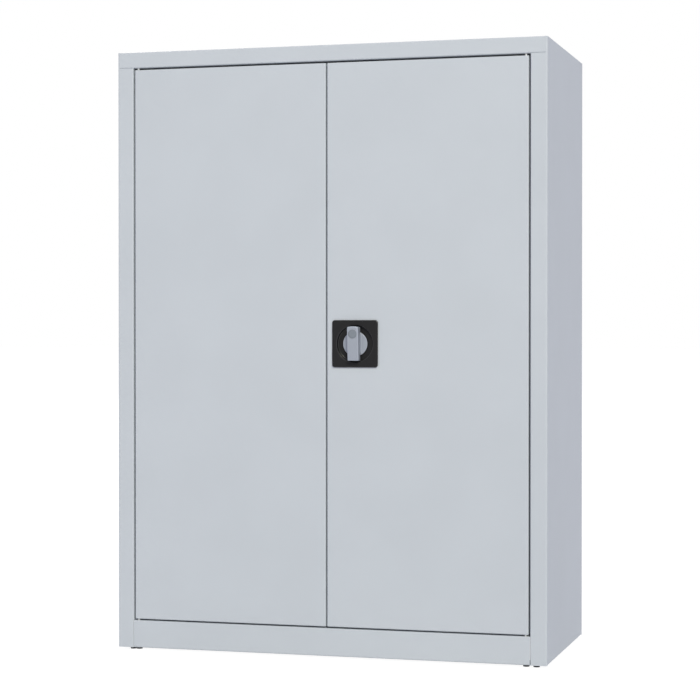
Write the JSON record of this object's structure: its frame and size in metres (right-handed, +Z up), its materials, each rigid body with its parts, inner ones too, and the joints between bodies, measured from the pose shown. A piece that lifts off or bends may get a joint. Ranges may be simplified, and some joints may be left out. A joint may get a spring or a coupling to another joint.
{
  "type": "metal storage cabinet",
  "caption": "Low sheet steel cabinet with hinged double doors, a round knob lock that drives locking rods, lift-off shelves inside and plastic feet.",
  "frame": {"origin": "middle of the bounding box's foot: on the floor, half way across the cabinet, half way between the knob's tip and the back", "axes": "+X to the right door, -Y out of the front, +Z up"},
  "size_m": [0.8, 0.3999, 1.1],
  "materials": {
    "grey_paint": "light grey powder coat, fine texture",
    "zinc": "zinc plated steel",
    "black_plastic": "black moulded plastic",
    "white_plastic": "white moulded plastic",
    "rubber": "black rubber",
    "knob_grey": "grey lacquered casting",
    "cylinder_grey": "dull nickel"
  },
  "bodies": {
    "carcass": {"side_panel_left": "grey_paint", "side_panel_right": "grey_paint", "top_panel": "grey_paint", "bottom_panel": "grey_paint", "back_panel": "grey_paint", "shelf_rail_left_front": "grey_paint", "shelf_rail_left_back": "grey_paint", "shelf_rail_right_front": "grey_paint", "shelf_rail_right_back": "grey_paint", "shelf_clip_lower_left_front": "zinc", "shelf_clip_lower_left_back": "zinc", "shelf_clip_lower_right_front": "zinc", "shelf_clip_lower_right_back": "zinc", "shelf_clip_upper_left_front": "zinc", "shelf_clip_upper_left_back": "zinc", "shelf_clip_upper_right_front": "zinc", "shelf_clip_upper_right_back": "zinc", "hinge_bush_left_lower": "white_plastic", "hinge_bush_left_upper": "white_plastic", "hinge_bush_right_lower": "white_plastic", "hinge_bush_right_upper": "white_plastic", "foot_left_front": "black_plastic", "foot_left_back": "black_plastic", "foot_right_front": "black_plastic", "foot_right_back": "black_plastic", "door_buffer_left_lower": "rubber", "door_buffer_left_upper": "rubber", "door_buffer_right_lower": "rubber", "door_buffer_right_upper": "rubber"},
    "door_left": {"door_left": "grey_paint", "door_stiffener_left": "grey_paint", "hinge_pin_left_lower": "zinc", "hinge_pin_left_upper": "zinc", "meeting_strip": "grey_paint"},
    "door_right": {"door_right": "grey_paint", "door_stiffener_right": "grey_paint", "hinge_pin_right_lower": "zinc", "hinge_pin_right_upper": "zinc", "lock_plate": "black_plastic", "lock_case": "zinc", "case_screw_left": "zinc", "case_screw_right": "zinc", "rod_guide_upper": "black_plastic", "rod_guide_lower": "black_plastic"},
    "knob": {"knob": "knob_grey", "lock_cam": "zinc", "spindle_screw": "zinc"},
    "key_cylinder": {"key_cylinder": "cylinder_grey"},
    "upper_rod": {"upper_rod": "zinc"},
    "lower_rod": {"lower_rod": "zinc"},
    "shelf_lower": {"shelf_lower": "grey_paint"},
    "shelf_upper": {"shelf_upper": "grey_paint"}
  },
  "joints": [
    {"name": "door_left_hinge", "type": "hinge", "parent": "carcass", "child": "door_left", "pos_m": [-0.3616, -0.174, 0.0585], "axis": [0, 0, -1], "range_deg": [0, 100]},
    {"name": "door_right_hinge", "type": "hinge", "parent": "carcass", "child": "door_right", "pos_m": [0.3616, -0.174, 0.0585], "axis": [0, 0, 1], "range_deg": [0, 100]},
    {"name": "knob_turn", "type": "hinge", "parent": "door_right", "child": "knob", "pos_m": [0.0538, -0.18, 0.5653], "axis": [0, 1, 0], "range_deg": [0, 90]},
    {"name": "key_cylinder_turn", "type": "hinge", "parent": "knob", "child": "key_cylinder", "pos_m": [0.0538, -0.19889, 0.5827], "axis": [0, -0.9968, -0.0799], "range_deg": [0, 90]},
    {"name": "upper_rod_slide", "type": "slide", "parent": "door_right", "child": "upper_rod", "axis": [0, 0, 1], "range_m": [0, 0.012]},
    {"name": "lower_rod_slide", "type": "slide", "parent": "door_right", "child": "lower_rod", "axis": [0, 0, -1], "range_m": [0, 0.012]},
    {"name": "shelf_lower_lift", "type": "slide", "parent": "carcass", "child": "shelf_lower", "axis": [0, 0, 1], "range_m": [0, 0.03]},
    {"name": "shelf_upper_lift", "type": "slide", "parent": "carcass", "child": "shelf_upper", "axis": [0, 0, 1], "range_m": [0, 0.03]}
  ],
  "couplings": [
    {"joint": "upper_rod_slide", "follows": "knob_turn", "m_per_rad": 0.0076394},
    {"joint": "lower_rod_slide", "follows": "knob_turn", "m_per_rad": 0.0076394}
  ]
}
